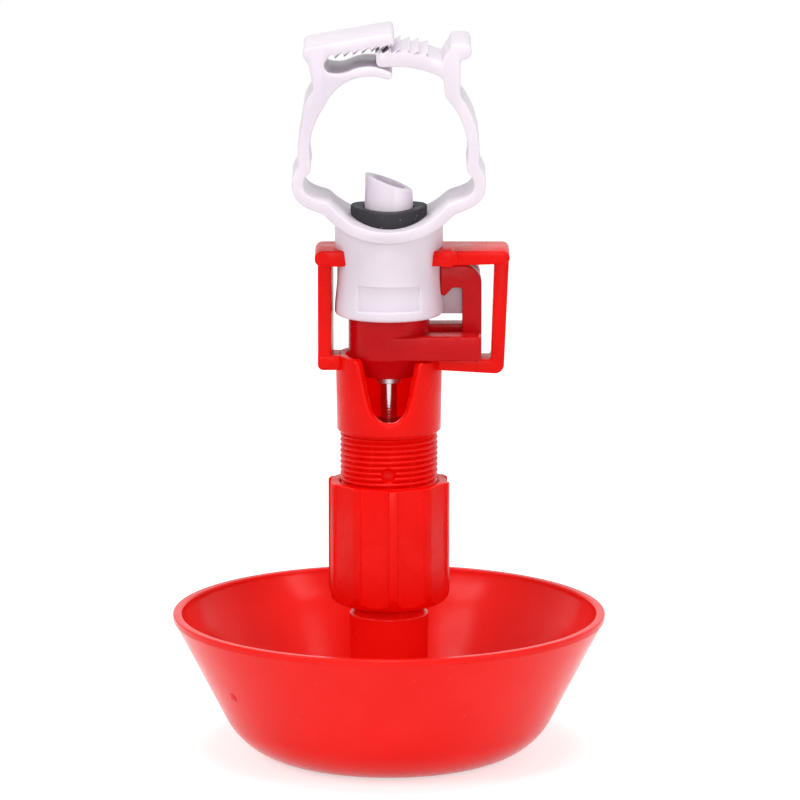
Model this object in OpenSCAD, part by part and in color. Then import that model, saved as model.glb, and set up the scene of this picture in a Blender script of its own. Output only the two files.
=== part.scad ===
// Hanging poultry drinker. A ratchet ring closes on a water pipe and carries a pin valve. A hanger
// snaps on below it, and a ribbed nut on its thread holds a sprung bowl under the valve's pin.
// Millimetres, +Z up, origin in the middle of the bowl's underside. The front faces -Y.

/* [Bowl] */
// Radius of the bowl at its rim
bowl_r = 36; // [28:0.5:50]
// Height of the bowl
bowl_h = 24.2; // [20:0.1:36]
// How far the wall leans out for each millimetre of height
bowl_lean = 0.52; // [0.3:0.01:0.6]
// Radius of the rounded corner under the bowl
bowl_corner_r = 12.4; // [6:0.1:14]
// Wall and floor of the bowl
bowl_wall = 1.5; // [1.2:0.05:2]
// Height of the upright band round the rim
rim_band_h = 1.0; // [0.6:0.1:2]
// Set-back of the wall under the rim band
rim_step = 0.15; // [0.1:0.05:0.4]
// Radius of the centre column
column_r = 6.45; // [5.9:0.05:7]
// Radius of the bead round the column's top
bead_r = 6.6; // [6.5:0.05:7.4]
// Height of the bead
bead_h = 1.6; // [1:0.1:2.4]
// Height of the rounded shoulder above the bead
shoulder_h = 1.6; // [1:0.1:2]
// How far the column's shoulder stands above the rim
column_rise = 1.3; // [0.5:0.1:4]
// Radius of the stem that goes up through the nut
stem_r = 4.4; // [3.8:0.1:4.6]

/* [Adjusting nut] */
// Length of the nut
nut_h = 20.8; // [17:0.1:24]
// Radius over the nut's flats
nut_r = 9.55; // [9.4:0.05:11]
// Number of grip ribs and flats
nut_ribs = 10; // [8:1:12]
// Width of a grip rib
rib_w = 1.4; // [1:0.1:2]
// Turn of the nut as fitted, in degrees
nut_phase = 4; // [0:1:36]
// How far a rib stands out of the corner between two flats
rib_rise = 0.28; // [0.2:0.02:0.6]
// Height of the rounded edge under the nut
nut_edge_r = 2.6; // [1.5:0.1:3.2]
// Thickness of the nut's floor
nut_floor = 2.1; // [1.6:0.1:2.6]
// Gap between the nut's floor and the column's shoulder
nut_gap = 0.3; // [0.2:0.05:0.6]
// Running clearance on the thread and at the stem
run_gap = 0.1; // [0.05:0.01:0.1]

/* [Hanger] */
// Radius over the thread's crests
thread_r = 8.1; // [7.9:0.05:8.3]
// Depth of the thread
thread_depth = 0.45; // [0.3:0.05:0.5]
// Thread pitch
thread_pitch = 0.93; // [0.8:0.01:1.2]
// Thread that shows between the nut and the sleeve
thread_shown = 8.5; // [6:0.1:12]
// Thread that the nut covers
thread_hidden = 12.6; // [10:0.1:13.5]
// Bore of the threaded tube
tube_bore_r = 6.5; // [6.4:0.05:6.7]
// Height of the smooth sleeve above the thread
sleeve_h = 12.9; // [11:0.1:16]
// Radius of the sleeve at its foot
sleeve_foot_r = 8.6; // [8.5:0.05:9]
// Radius of the sleeve at its rim
sleeve_rim_r = 8.8; // [8.7:0.05:9.1]
// Bore of the sleeve round the valve
sleeve_bore_r = 7.15; // [7:0.05:7.4]
// Bevel at the foot of the sleeve
sleeve_bevel = 0.5; // [0.3:0.05:0.8]
// Half width of the window at the sleeve's rim
window_top_w = 5.2; // [4.4:0.1:6]
// Radius of the window's round end
window_end_r = 3.9; // [2.6:0.1:4.1]
// Height of the window's end above the foot of the sleeve
window_foot_h = 2.5; // [2:0.1:4]
// Radius of the moulding dimple in the thread
dimple_r = 1.35; // [1:0.05:1.6]
// Height of the dimple above the nut
dimple_rise = 2.3; // [1.8:0.1:5]

/* [Hanger frames] */
// Outer face of the left strut from the axis
left_out = 11.75; // [11.4:0.05:14]
// Width of the left strut in front
left_strut_w = 2.2; // [1.8:0.1:2.3]
// Extra width of the left strut at its back
left_strut_draft = 0.4; // [0.1:0.05:0.5]
// Outer face of the right strut at the top
right_out = 19.9; // [19.4:0.1:24]
// How far the right strut leans in at its foot
right_lean = 0.9; // [0:0.1:1]
// Width of the right strut
right_strut_w = 2.4; // [2:0.1:2.6]
// Depth of the struts and of the bars at their feet
strut_depth = 6; // [4:0.1:7]
// Depth of the jaws that grip the socket
jaw_depth = 10; // [8:0.1:11]
// Height of the jaws
jaw_h = 2.6; // [2:0.1:3.2]
// Height of the bars at the struts' feet
foot_bar_h = 2.4; // [2:0.1:3]
// How far the right foot bar lies below the left one
bar_drop = 0.6; // [0.5:0.05:1]
// How deep the arm's foot sits in the hanger's rim
arm_sink = 0.4; // [0.2:0.05:0.5]
// How far the button stands out of the right jaw
button_rise = 0.9; // [0.4:0.1:1.5]
// Length of the button
button_w = 3.7; // [2.6:0.1:4]
// Clearance between the jaws and the socket
jaw_gap = 0.12; // [0.1:0.02:0.3]

/* [Valve body] */
// Radius of the valve body
valve_r = 6.7; // [6.4:0.05:6.8]
// How far the body goes up into the socket
valve_insert = 12.8; // [11:0.1:13.4]
// Height of the cone under the body
cone_h = 3.2; // [2.6:0.1:3.6]
// Radius of the nose under the cone
nose_r = 4.5; // [4.2:0.1:5]
// Bevel round the nose's edge
nose_bevel = 0.3; // [0.2:0.05:0.6]
// Bore of the pin chamber
chamber_r = 3; // [2.9:0.05:3.2]
// Height of the chamber above the seat
chamber_h = 10.9; // [10:0.1:12]
// Bore of the water way above the chamber
inlet_r = 2; // [1.5:0.1:2.4]
// Height of the locking arm's foot
arm_h = 4.1; // [3:0.1:4.4]
// Reach of the locking arm from the axis
arm_reach = 15.3; // [14.8:0.1:15.9]
// Width of the arm's riser
riser_w = 3.2; // [2.6:0.1:3.4]
// Depth of the riser and of the hook
riser_depth = 3.6; // [3:0.1:4]
// Depth of the foot in front of the riser
foot_depth = 5.2; // [4.4:0.1:5.6]
// Height of the hook's bar
hook_h = 3.7; // [3:0.1:4]
// How far the hook's barb hangs down
barb_h = 1.4; // [1:0.1:1.8]
// Width of the barb
barb_w = 1.8; // [1.4:0.1:2.2]
// Outer corner radius of the hook
hook_corner_r = 3; // [2:0.1:3.4]
// Height of the web behind the foot
web_h = 1.5; // [1:0.1:1.8]
// How far the web stands above the foot
web_rise = 0.8; // [0.4:0.1:1]

/* [Valve inner parts] */
// Section of the body seal
seal_d = 1.8; // [1.6:0.05:2]
// Height of the seal above the socket's mouth
seal_rise = 8.5; // [6:0.1:10]
// Radius of the steel seat's lip
lip_r = 1.95; // [1.9:0.05:2.2]
// Bore of the steel seat
seat_bore_r = 1.7; // [1.65:0.01:1.75]
// Height of the steel seat
seat_h = 3.2; // [2.8:0.1:3.4]
// How far the seat's lip stands below the nose
lip_drop = 1.25; // [0.9:0.05:1.4]
// Radius of the trigger pin
pin_r = 1.35; // [1.2:0.01:1.38]
// Radius of the ball on top of the trigger pin
ball_r = 2.1; // [2:0.05:2.3]
// Radius of the valve pin that rests on the ball
valve_pin_r = 2.6; // [2.3:0.05:2.7]
// Length of the valve pin
valve_pin_h = 6.2; // [5:0.1:6.4]
// Clearance of hard parts that rest on each other
rest_gap = 0.03; // [0.02:0.01:0.06]

/* [Spring and cap] */
// Length of the spring as fitted
spring_h = 12.3; // [11:0.1:13]
// Mean radius of the spring's coils
spring_r = 5.4; // [5.2:0.05:5.5]
// Radius of the spring wire
wire_r = 0.4; // [0.3:0.02:0.45]
// Turns of the spring
spring_turns = 6.5; // [4:0.5:8]
// Outer radius of the washer and of the cap's flange
washer_r = 6; // [5.8:0.05:6.2]
// Thickness of the washer
washer_t = 0.8; // [0.6:0.05:1.2]
// Thickness of the cap's flange
cap_flange_t = 1.4; // [1:0.1:2]
// Height of the cap's push button
cap_button_h = 4.6; // [4:0.1:5.4]
// Radius of the cap's push button
cap_button_r = 3.6; // [3.4:0.1:4]
// Radius of the peg that the cap is pressed on
peg_r = 2.4; // [2:0.1:2.6]
// Height of the peg
peg_h = 3.6; // [3:0.1:3.8]
// Gap between the cap and the trigger pin
trigger_gap = 3.3; // [3.2:0.1:4]

/* [Socket] */
// Radius of the white socket at its mouth and at its top
socket_r = 8.95; // [8.8:0.05:9.2]
// Depth of the waist round the socket
waist_depth = 0.42; // [0.1:0.02:0.6]
// Height of the socket up to the ring's floor
socket_h = 15.1; // [14.7:0.1:17]
// Gap between the locking arm's foot and the socket
lock_gap = 2.8; // [2:0.1:4]
// Clearance of the valve body in the socket
socket_gap = 0.15; // [0.1:0.01:0.2]
// Rounded edge at the socket's mouth
mouth_edge_r = 0.6; // [0.3:0.05:0.8]
// Width of the bare recessed panel
panel_w = 10.4; // [8:0.1:12]
// Height of the recessed panel
panel_h = 4.2; // [3:0.1:5]
// Depth of the recessed panel
panel_depth = 0.3; // [0.2:0.05:0.5]
// Height of the panel above the mouth
panel_rise = 1.6; // [1.2:0.1:2.4]
// Height of the lug's top above the mouth
lug_h = 8.2; // [7:0.1:8.3]
// How far the lug hangs below the mouth
lug_drop = 0.4; // [0.1:0.1:0.6]
// Depth of the lug
lug_depth = 3.6; // [3:0.1:4]

/* [Pipe ring] */
// Bore of the ring as it is latched on its first tooth
pipe_r = 13; // [12.9:0.05:13.6]
// Thickness of the ring
band_t = 1.9; // [1.6:0.1:2.1]
// Depth of the ring along the pipe
band_depth = 15.2; // [14:0.1:16.4]
// Depth of the ring at its saddle, along the pipe
saddle_depth = 18.8; // [18:0.1:20]
// Radius inside a spring lobe
lobe_r = 2.3; // [2:0.05:2.5]
// Distance of a lobe's outer centre from the axis
lobe_out = 11.8; // [11.6:0.1:12.4]
// Drop of the lobes below the pipe's axis
lobe_drop = 5.4; // [5:0.1:6]
// Thickness of the left jaw
jaw_t = 1.8; // [1.7:0.05:2.2]
// Length of the left jaw
jaw_len = 14.9; // [14.4:0.1:15.1]
// Slope of the left jaw in degrees
jaw_slope = 10; // [9:0.5:11]
// Pitch of the latch teeth
tooth_pitch = 1.5; // [1.4:0.05:1.6]
// Height of the latch teeth
tooth_h = 0.75; // [0.5:0.05:0.75]
// Thickness of the tongue
tongue_t = 2.3; // [2:0.05:2.4]
// Gap between the parts of the latch
latch_gap = 0.2; // [0.15:0.01:0.3]

/* [Gasket and spigot] */
// Radius of the gasket
gasket_r = 6.3; // [6:0.05:6.6]
// Height of the gasket's edge above the ring's floor
gasket_h = 3.3; // [2.6:0.1:3.6]
// Depth of the hollow in the gasket's top
gasket_dip = 0.6; // [0.3:0.05:0.8]
// Radius of the spigot at its foot
spigot_r = 4.1; // [3.9:0.05:4.3]
// Radius that the spigot loses at its top
spigot_draft = 0.2; // [0.1:0.05:0.3]
// Bore of the spigot
spigot_bore_r = 2.65; // [2.4:0.05:2.8]
// Height of the spigot's slanted end above the ring's floor, on the axis
spigot_h = 7; // [6:0.1:7.5]
// Slant of the spigot's end in degrees
spigot_slant = 20.5; // [10:0.5:25]
// Clearance of the gasket round the spigot and on the ring
gasket_gap = 0.04; // [0.03:0.01:0.1]

/* [Hidden] */
$fn = 96;
// A little more than a cut needs, so that it passes both faces
over = 1;

// Heights from the bowl's underside up
shoulder_z = bowl_h + column_rise;
bead_z = shoulder_z - shoulder_h - bead_h;
nut_z = shoulder_z + nut_gap;
nut_top_z = nut_z + nut_h;
spring_z = nut_z + nut_floor;
washer_z = spring_z + spring_h;
cap_z = washer_z + washer_t;
cap_top_z = cap_z + cap_flange_t + cap_button_h;
foot_z = nut_top_z + thread_shown;
tube_z = nut_top_z - thread_hidden;
rim_z = foot_z + sleeve_h;
arm_z = rim_z + jaw_gap - arm_sink;
cone_z = arm_z + jaw_gap;
nose_z = cone_z - cone_h - nose_bevel;
seat_z = nose_z - lip_drop;
seat_top_z = seat_z + seat_h;
ball_z = seat_top_z + sqrt(pow(ball_r + rest_gap, 2) - pow(seat_bore_r, 2));
chamber_top_z = seat_top_z + chamber_h;
pin_tip_z = cap_top_z + trigger_gap;
mouth_z = arm_z + arm_h + lock_gap;
floor_z = mouth_z + socket_h;
axis_z = floor_z + pipe_r;
valve_top_z = mouth_z + valve_insert;
socket_bore_r = valve_r + socket_gap;

// The hook and the lug end just under the hanger's jaws
lug_top_z = mouth_z + lug_h;
jaw_z = lug_top_z + 4 * jaw_gap;
hook_top_z = lug_top_z + jaw_gap;

// Places on the pipe ring's outline, from the pipe's axis
latch_y = pipe_r + 4.1;
jaw_end = [-14.1, latch_y];
finger_top = [-3.3, pipe_r - 5.8];
finger_top_r = 7;
finger_under = [-3.16, pipe_r - 8.3];
finger_under_r = 7.9;
tongue_centre = [1, -3.2];
tongue_under_r = pipe_r + 4.4;
tongue_nose_x = -2.1;
post_x = 9.1;

// A flat outline in the XZ plane, given depth along Y from y0 to y1
module slab(y0, y1) {
    translate([0, y1, 0]) rotate([90, 0, 0]) linear_extrude(y1 - y0) children();
}

// A rectangle with round corners
module round_box(x0, x1, y0, y1, r) {
    translate([x0 + r, y0]) square([x1 - x0 - 2 * r, y1 - y0]);
    translate([x0, y0 + r]) square([x1 - x0, y1 - y0 - 2 * r]);
    for (x = [x0 + r, x1 - r], y = [y0 + r, y1 - r]) translate([x, y]) circle(r);
}

// A straight bar with round ends between two points
module stadium(a, b, r) {
    along = (b - a) / norm(b - a);
    across = [-along[1], along[0]] * r;
    for (p = [a, b]) translate(p) circle(r);
    polygon([a + across, a - across, b - across, b + across]);
}

// The part of a circle's outline between two radii
module annulus(r_in, r_out) {
    difference() {
        circle(r_out);
        circle(r_in);
    }
}

// Pipe ring: round band with two spring lobes, open at the top
module band_outline() {
    lobe_in = [lobe_out - 1.5, -lobe_drop - 0.6];
    lobe_far = [lobe_out, -lobe_drop];
    opening = 2 * pipe_r;
    difference() {
        union() {
            circle(pipe_r + band_t);
            for (side = [-1, 1]) mirror([side < 0 ? 1 : 0, 0]) stadium(lobe_in, lobe_far, lobe_r + band_t);
        }
        circle(pipe_r);
        for (side = [-1, 1]) mirror([side < 0 ? 1 : 0, 0]) stadium(lobe_in, lobe_far, lobe_r);
        // The top is open between the two posts
        polygon([[0, 0], opening * [cos(46), sin(46)], [0, 2 * opening], opening * [cos(137), sin(137)]]);
    }
}

// Left post, jaw with downward teeth, and the finger under it
module left_latch_outline() {
    gap_end = [-9.4, latch_y - 2.8];
    gap_end_r = 1.3;
    difference() {
        union() {
            polygon([[-14.55, 4], [-13.8, 7.9], [-12.3, 10.4], [-13.1, latch_y - 2.4],
                [jaw_end[0], latch_y - 1.4], jaw_end, [-6, latch_y], [-7.7, 13], [-7.7, 9], [-12, 4]]);
            translate(jaw_end) rotate(jaw_slope) translate([0, -jaw_t]) square([jaw_len, jaw_t]);
        }
        circle(pipe_r);
        translate(finger_under) circle(finger_under_r);
        translate(gap_end) circle(gap_end_r);
        // The slot between the jaw and the finger runs out to the right
        translate(jaw_end) rotate(jaw_slope) translate([4.3, -jaw_t - 2.6]) square([jaw_len, 2.6]);
    }
    translate(jaw_end) rotate(jaw_slope) translate([4.9, -jaw_t])
        for (i = [0:6]) translate([i * tooth_pitch, 0])
            polygon([[0, 0], [0, -tooth_h], [tooth_pitch * 0.9, 0]]);
    difference() {
        union() {
            intersection() {
                translate(finger_top) circle(finger_top_r);
                translate([-10.5, 0]) square([10.55, 2 * pipe_r]);
            }
            translate([-0.1, pipe_r - 0.3]) circle(0.85);
        }
        translate(finger_under) circle(finger_under_r);
        translate([-11, 0]) square([12, 9.4]);
        translate(tongue_centre) difference() {
            circle(3 * pipe_r);
            circle(tongue_under_r - latch_gap);
            translate([tongue_nose_x - latch_gap - tongue_centre[0] - 3 * pipe_r, 0])
                square([3 * pipe_r, 3 * pipe_r]);
        }
        translate(gap_end) circle(gap_end_r);
    }
}

// Right post with its thumb head, and the toothed tongue
module right_latch_outline() {
    tongue_top_r = tongue_under_r + tongue_t;
    difference() {
        union() {
            translate([post_x, 9]) square([2.6, 8]);
            round_box(post_x + 0.7, post_x + 4.5, latch_y - 1.8, latch_y + 0.9, 1);
            translate([post_x, latch_y - 1.2]) square([2.6, 2.1]);
        }
        circle(pipe_r);
    }
    difference() {
        intersection() {
            translate(tongue_centre) annulus(tongue_under_r, tongue_top_r);
            translate([tongue_nose_x, 0]) square([post_x + 1 - tongue_nose_x, 2 * pipe_r]);
        }
        // Lead-in under the tongue's nose
        polygon([[tongue_nose_x - over, 13], [tongue_nose_x - over, 15.3], [tongue_nose_x + 1.3, 13]]);
    }
    translate(tongue_centre) for (i = [0:5]) rotate(-i * 360 * tooth_pitch / (2 * PI * tongue_top_r))
        translate([-2.15, sqrt(pow(tongue_top_r, 2) - pow(2.15, 2)) - 0.1])
            polygon([[0, 0.1 + tooth_h], [-tooth_pitch * 0.75, 0], [0, 0]]);
}

// Half depth of the ring: wide at the saddle, narrow at the lobes
module saddle_plan() {
    wide = saddle_depth / 2;
    narrow = band_depth / 2;
    edge = [[-18, narrow], [-11.2, narrow], [-6, wide], [6, wide], [11.2, narrow], [18, narrow]];
    polygon(concat(edge, [for (i = [len(edge) - 1:-1:0]) [edge[i][0], -edge[i][1]]]));
}

// Outline of the socket's wall: straight top, shallow waist, rounded mouth
module socket_profile() {
    waist_h = socket_h * 0.5;
    steps = 12;
    function wall(t) = socket_r - waist_depth * pow(sin(180 * t), 2);
    polygon(concat([[0, mouth_z]], [[socket_r - mouth_edge_r, mouth_z]],
        [for (a = [-67.5:22.5:0]) [socket_r - mouth_edge_r * (1 - cos(a)), mouth_z + mouth_edge_r * (1 + sin(a))]],
        [for (i = [1:steps]) [wall(i / steps), mouth_z + mouth_edge_r + waist_h * 1.6 * i / steps]],
        [[socket_r, floor_z + 1.5], [0, floor_z + 1.5]]));
}

// White moulding: pipe ring, socket, spigot and lug in one piece
module saddle_clamp() color([0.93, 0.92, 0.94]) {
    difference() {
        union() {
            intersection() {
                slab(-saddle_depth / 2, saddle_depth / 2) translate([0, axis_z]) band_outline();
                union() {
                    translate([0, 0, mouth_z]) linear_extrude(axis_z - mouth_z - lobe_drop) saddle_plan();
                    translate([-20, -band_depth / 2, axis_z - lobe_drop]) cube([40, band_depth, 40]);
                }
            }
            slab(-band_depth / 2, band_depth / 2) translate([0, axis_z]) {
                left_latch_outline();
                right_latch_outline();
            }
            difference() {
                rotate_extrude() socket_profile();
                slab(-2 * socket_r, 2 * socket_r) translate([0, axis_z]) circle(pipe_r);
            }
            lug();
            spigot();
        }
        translate([0, 0, mouth_z - over]) cylinder(r = socket_bore_r, h = valve_insert + 0.4 + over);
        translate([0, 0, mouth_z]) cylinder(r = spigot_bore_r, h = 2 * socket_h);
        panel_recess();
    }
}

// Slant-cut tube that pierces the pipe
module spigot() {
    tall = spigot_h + spigot_r;
    difference() {
        translate([0, 0, floor_z - 0.5])
            cylinder(r1 = spigot_r, r2 = spigot_r - spigot_draft, h = tall + 0.5);
        translate([0, 0, floor_z + spigot_h]) rotate([0, spigot_slant, 0])
            translate([-2 * spigot_r, -2 * spigot_r, 0]) cube(4 * spigot_r);
    }
}

// Lug that the valve's hook locks beside
module lug() {
    back = riser_depth / 2 + jaw_gap;
    slab(back, back + lug_depth) difference() {
        union() {
            round_box(socket_r - 3, arm_reach - 0.2, mouth_z - lug_drop, lug_top_z, 2);
            translate([socket_r - 3, mouth_z - lug_drop]) square([arm_reach - socket_r + 2.8, lug_h / 2]);
        }
        // Below the mouth the lug starts outside the valve body
        translate([0, mouth_z - lug_h]) square([socket_r - mouth_edge_r, lug_h + 0.01]);
        translate([0, mouth_z]) square([socket_bore_r, lug_h]);
    }
}

// Shallow bare panel in the front of the socket
module panel_recess() {
    translate([-panel_w / 2, -socket_r - over, mouth_z + panel_rise]) intersection() {
        cube([panel_w, socket_r, panel_h]);
        translate([panel_w / 2, socket_r + over, 0]) difference() {
            cylinder(r = socket_r + over, h = panel_h);
            cylinder(r = socket_r - waist_depth - panel_depth, h = panel_h);
        }
    }
}

// Rubber gasket: its foot follows the ring's floor and its top the pipe
module pipe_gasket() color([0.13, 0.13, 0.14]) {
    dip_r = gasket_r * gasket_r / (2 * gasket_dip);
    difference() {
        intersection() {
            translate([0, 0, floor_z]) cylinder(r = gasket_r, h = gasket_h);
            slab(-gasket_r, gasket_r) translate([0, axis_z]) circle(pipe_r - gasket_gap);
        }
        translate([0, 0, floor_z - over]) cylinder(r = spigot_r + gasket_gap, h = gasket_h + 2 * over);
        slab(-2 * gasket_r, 2 * gasket_r)
            translate([0, floor_z + gasket_h - gasket_dip + dip_r]) circle(dip_r);
    }
}

// Hook outline: riser, bar with a round outer corner, and barb
module hook_outline() {
    left = arm_reach - riser_w - 3.5;
    bar_z = hook_top_z - hook_h;
    translate([arm_reach - riser_w, arm_z]) square([riser_w, hook_top_z - arm_z - hook_corner_r]);
    intersection() {
        union() {
            translate([arm_reach - hook_corner_r, hook_top_z - hook_corner_r]) circle(hook_corner_r);
            translate([left, bar_z]) square([arm_reach - hook_corner_r - left, hook_h]);
            translate([left, bar_z]) square([arm_reach - left, hook_h - hook_corner_r]);
        }
        translate([left, bar_z]) square([arm_reach - left, hook_h]);
    }
    polygon([[left, bar_z + 0.1], [left, bar_z - barb_h * 0.8], [left + 0.5, bar_z - barb_h],
        [left + 0.8, bar_z - barb_h], [left + barb_w, bar_z - barb_h * 0.35], [left + barb_w, bar_z + 0.1]]);
}

// Dark red valve body with its locking arm
module valve_body() color([0.76, 0.09, 0.12]) {
    groove_z = mouth_z + seal_rise;
    web_y = riser_depth / 2;
    difference() {
        union() {
            translate([0, 0, cone_z]) cylinder(r = valve_r, h = valve_top_z - cone_z);
            translate([0, 0, cone_z - cone_h]) cylinder(r1 = nose_r, r2 = valve_r, h = cone_h);
            translate([0, 0, nose_z]) cylinder(r1 = nose_r - nose_bevel, r2 = nose_r, h = nose_bevel);
            // Foot of the arm, level with the body's front
            translate([0, -valve_r, arm_z]) cube([arm_reach - 0.15, foot_depth, arm_h]);
            // Riser and hook, clear of the socket
            difference() {
                slab(-web_y, web_y) hook_outline();
                translate([0, 0, mouth_z]) cylinder(r = socket_r + jaw_gap / 2, h = socket_h);
            }
            // Thin web behind the foot
            translate([0, web_y - over, arm_z + arm_h + web_rise - web_h])
                cube([arm_reach - 0.15, 3 + over, web_h]);
        }
        translate([0, 0, nose_z - over]) cylinder(r = chamber_r, h = chamber_top_z - nose_z + over);
        translate([0, 0, nose_z]) cylinder(r = inlet_r, h = valve_top_z - nose_z + over);
        translate([0, 0, groove_z - seal_d / 2]) difference() {
            cylinder(r = valve_r + over, h = seal_d);
            cylinder(r = socket_bore_r - seal_d - rest_gap, h = seal_d);
        }
    }
}

// Rubber ring between the valve body and the socket
module body_seal() color([0.1, 0.1, 0.11]) {
    translate([0, 0, mouth_z + seal_rise]) rotate_extrude()
        translate([socket_bore_r - seal_d / 2 - rest_gap / 2, 0]) circle(seal_d / 2 - rest_gap / 2);
}

// Steel seat pressed into the nose, with a lip that shows below it
module seat_bush() color([0.75, 0.76, 0.78]) {
    difference() {
        union() {
            translate([0, 0, seat_z]) cylinder(r = lip_r, h = seat_h);
            translate([0, 0, nose_z + nose_bevel]) cylinder(r = chamber_r, h = seat_top_z - nose_z - nose_bevel);
        }
        translate([0, 0, seat_z - over]) cylinder(r = seat_bore_r, h = seat_h + 2 * over);
    }
}

// Steel pin that rests on the trigger's ball and shuts the water way
module valve_pin() color([0.7, 0.71, 0.73]) {
    edge = 0.5;
    translate([0, 0, ball_z + ball_r + rest_gap]) {
        cylinder(r = valve_pin_r, h = valve_pin_h - edge);
        translate([0, 0, valve_pin_h - edge]) cylinder(r1 = valve_pin_r, r2 = valve_pin_r - edge, h = edge);
    }
}

// Steel trigger pin that hangs from its ball
module trigger_pin() color([0.75, 0.76, 0.78]) {
    translate([0, 0, ball_z]) sphere(ball_r);
    translate([0, 0, pin_tip_z + pin_r / 2]) cylinder(r = pin_r, h = ball_z - pin_tip_z - pin_r / 2);
    translate([0, 0, pin_tip_z]) cylinder(r1 = pin_r / 2, r2 = pin_r, h = pin_r / 2);
}

// Thread as rings at the real pitch, so that the nut can slide through its travel
module thread_profile() {
    turns = floor((foot_z - tube_z) / thread_pitch);
    root_r = thread_r - thread_depth;
    polygon(concat([[tube_bore_r, tube_z]],
        [for (i = [0:turns - 1], k = [0:3]) [k == 0 || k == 3 ? root_r : thread_r,
            tube_z + thread_pitch * (i + [0.1, 0.4, 0.6, 0.9][k])]],
        [[root_r, foot_z], [tube_bore_r, foot_z]]));
}

// Smooth sleeve above the thread
module sleeve_profile() {
    polygon([[tube_bore_r, foot_z - 0.01], [sleeve_foot_r - sleeve_bevel, foot_z - 0.01],
        [sleeve_foot_r, foot_z + sleeve_bevel], [sleeve_rim_r, rim_z - 0.3], [sleeve_rim_r - 0.3, rim_z],
        [sleeve_bore_r + 0.4, rim_z], [sleeve_bore_r, rim_z - 0.6], [sleeve_bore_r, foot_z + 1.6],
        [tube_bore_r, foot_z + 0.8]]);
}

// U-shaped window that shows the pin, wider at the rim
module window_outline() {
    end_z = foot_z + window_foot_h + window_end_r;
    translate([0, end_z]) circle(window_end_r);
    polygon([[-window_end_r, end_z], [window_end_r, end_z], [window_top_w, rim_z + over],
        [-window_top_w, rim_z + over]]);
}

// Left frame seen from the front, with its jaw
module left_frame() {
    inner = left_out - left_strut_w;
    slab(-strut_depth / 2, strut_depth / 2)
        round_box(-left_out, -sleeve_bore_r - 0.8, rim_z - foot_bar_h, rim_z, 0.8);
    translate([0, 0, rim_z - foot_bar_h / 2]) linear_extrude(jaw_z + jaw_h / 2 - rim_z + foot_bar_h / 2)
        polygon([[-left_out, -strut_depth / 2], [-inner, -strut_depth / 2],
            [-inner + left_strut_draft, strut_depth / 2], [-left_out, strut_depth / 2]]);
    slab(-jaw_depth / 2, jaw_depth / 2) round_box(-left_out - 0.4, -7, jaw_z, jaw_z + jaw_h, 0.9);
}

// Right frame seen from the front, wide enough for the valve's arm
module right_frame() {
    top_z = jaw_z + jaw_h;
    bar_r = 1.4;
    foot = right_out - right_lean;
    bar_z = rim_z - bar_drop;
    slab(-strut_depth / 2, strut_depth / 2) {
        polygon([[right_out, jaw_z + jaw_h / 2], [foot, bar_z - foot_bar_h / 2],
            [foot - right_strut_w + 0.2, bar_z - foot_bar_h / 2], [right_out - right_strut_w, jaw_z + jaw_h / 2]]);
        // The foot bar grows thicker towards its outer corner
        round_box(12, foot + 0.03, bar_z - foot_bar_h, bar_z, 1.15);
        polygon([[sleeve_bore_r + 0.8, bar_z - foot_bar_h + bar_drop], [foot - bar_r, bar_z - foot_bar_h],
            [foot - bar_r, bar_z], [sleeve_bore_r + 0.8, bar_z]]);
    }
    slab(-jaw_depth / 2, jaw_depth / 2) difference() {
        union() {
            round_box(12, right_out, jaw_z, top_z, 1.25);
            translate([7, jaw_z]) square([12 - 7 + bar_r, jaw_h]);
        }
        polygon([[socket_r, jaw_z - over], [right_out - right_strut_w, jaw_z - over],
            [right_out - right_strut_w, jaw_z + 0.3], [socket_r, jaw_z]]);
    }
    // Eight-sided button on the front of the jaw
    slab(-jaw_depth / 2 - button_rise, 0) translate([7.7 + button_w / 2, jaw_z + jaw_h / 2 + 0.2])
        scale([button_w / jaw_h, 1.1]) rotate(22.5) circle(r = jaw_h / 2 / cos(22.5), $fn = 8);
}

// Bright red hanger: threaded tube, windowed sleeve and two gripping frames
module hanger() color([0.9, 0.13, 0.08]) {
    difference() {
        union() {
            rotate_extrude() thread_profile();
            difference() {
                rotate_extrude() sleeve_profile();
                slab(-2 * sleeve_rim_r, 0) window_outline();
            }
            difference() {
                union() {
                    left_frame();
                    right_frame();
                }
                translate([0, 0, foot_z]) cylinder(r = sleeve_bore_r + 0.4, h = jaw_z - foot_z - over);
                translate([0, 0, jaw_z - over]) cylinder(r = socket_r + jaw_gap, h = jaw_h + 2 * over);
            }
        }
        // Seat of the valve's arm in the rim
        translate([window_end_r - 1, -valve_r - jaw_gap, arm_z - jaw_gap])
            cube([arm_reach, foot_depth + 2 * jaw_gap, 2 * arm_sink]);
        translate([0, -tube_bore_r - 0.75, nut_top_z + dimple_rise]) rotate([90, 0, 0])
            cylinder(r = dimple_r, h = thread_r);
    }
}

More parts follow.
